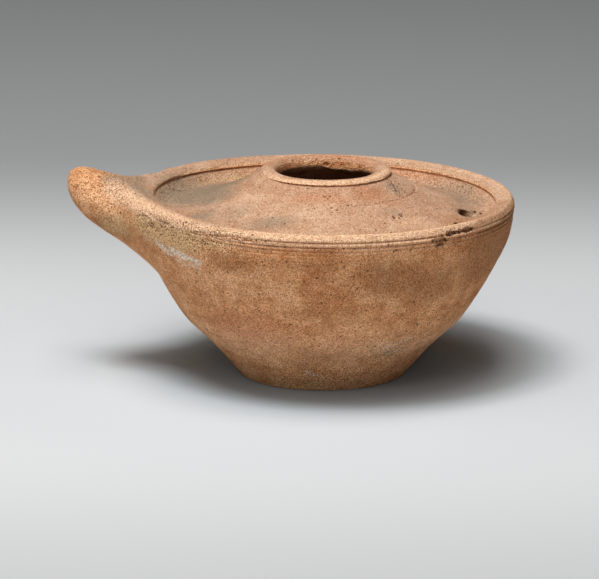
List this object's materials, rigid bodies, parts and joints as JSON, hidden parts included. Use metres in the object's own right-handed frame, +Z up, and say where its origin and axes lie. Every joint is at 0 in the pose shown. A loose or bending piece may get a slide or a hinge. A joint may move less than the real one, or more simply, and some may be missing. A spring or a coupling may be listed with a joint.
{
  "type": "oil lamp",
  "caption": "Closed wheel-made terracotta oil lamp: flat foot, flaring bowl, grooved rim, sunk lid with a raised filling collar, drain hole and solid thumb lug.",
  "frame": {"origin": "middle of the flat underside, on the surface the lamp stands on", "axes": "+Z up; -X towards the thumb lug's tip, +X towards the drain hole; the picture looks along +Y"},
  "size_m": [0.13, 0.1106, 0.0611],
  "materials": {
    "terracotta": "unglazed orange-brown fired clay with a fine sandy surface, olive-grey staining and pale lime deposits, matt"
  },
  "bodies": {
    "root": {"lamp_body": "terracotta"}
  },
  "joints": []
}
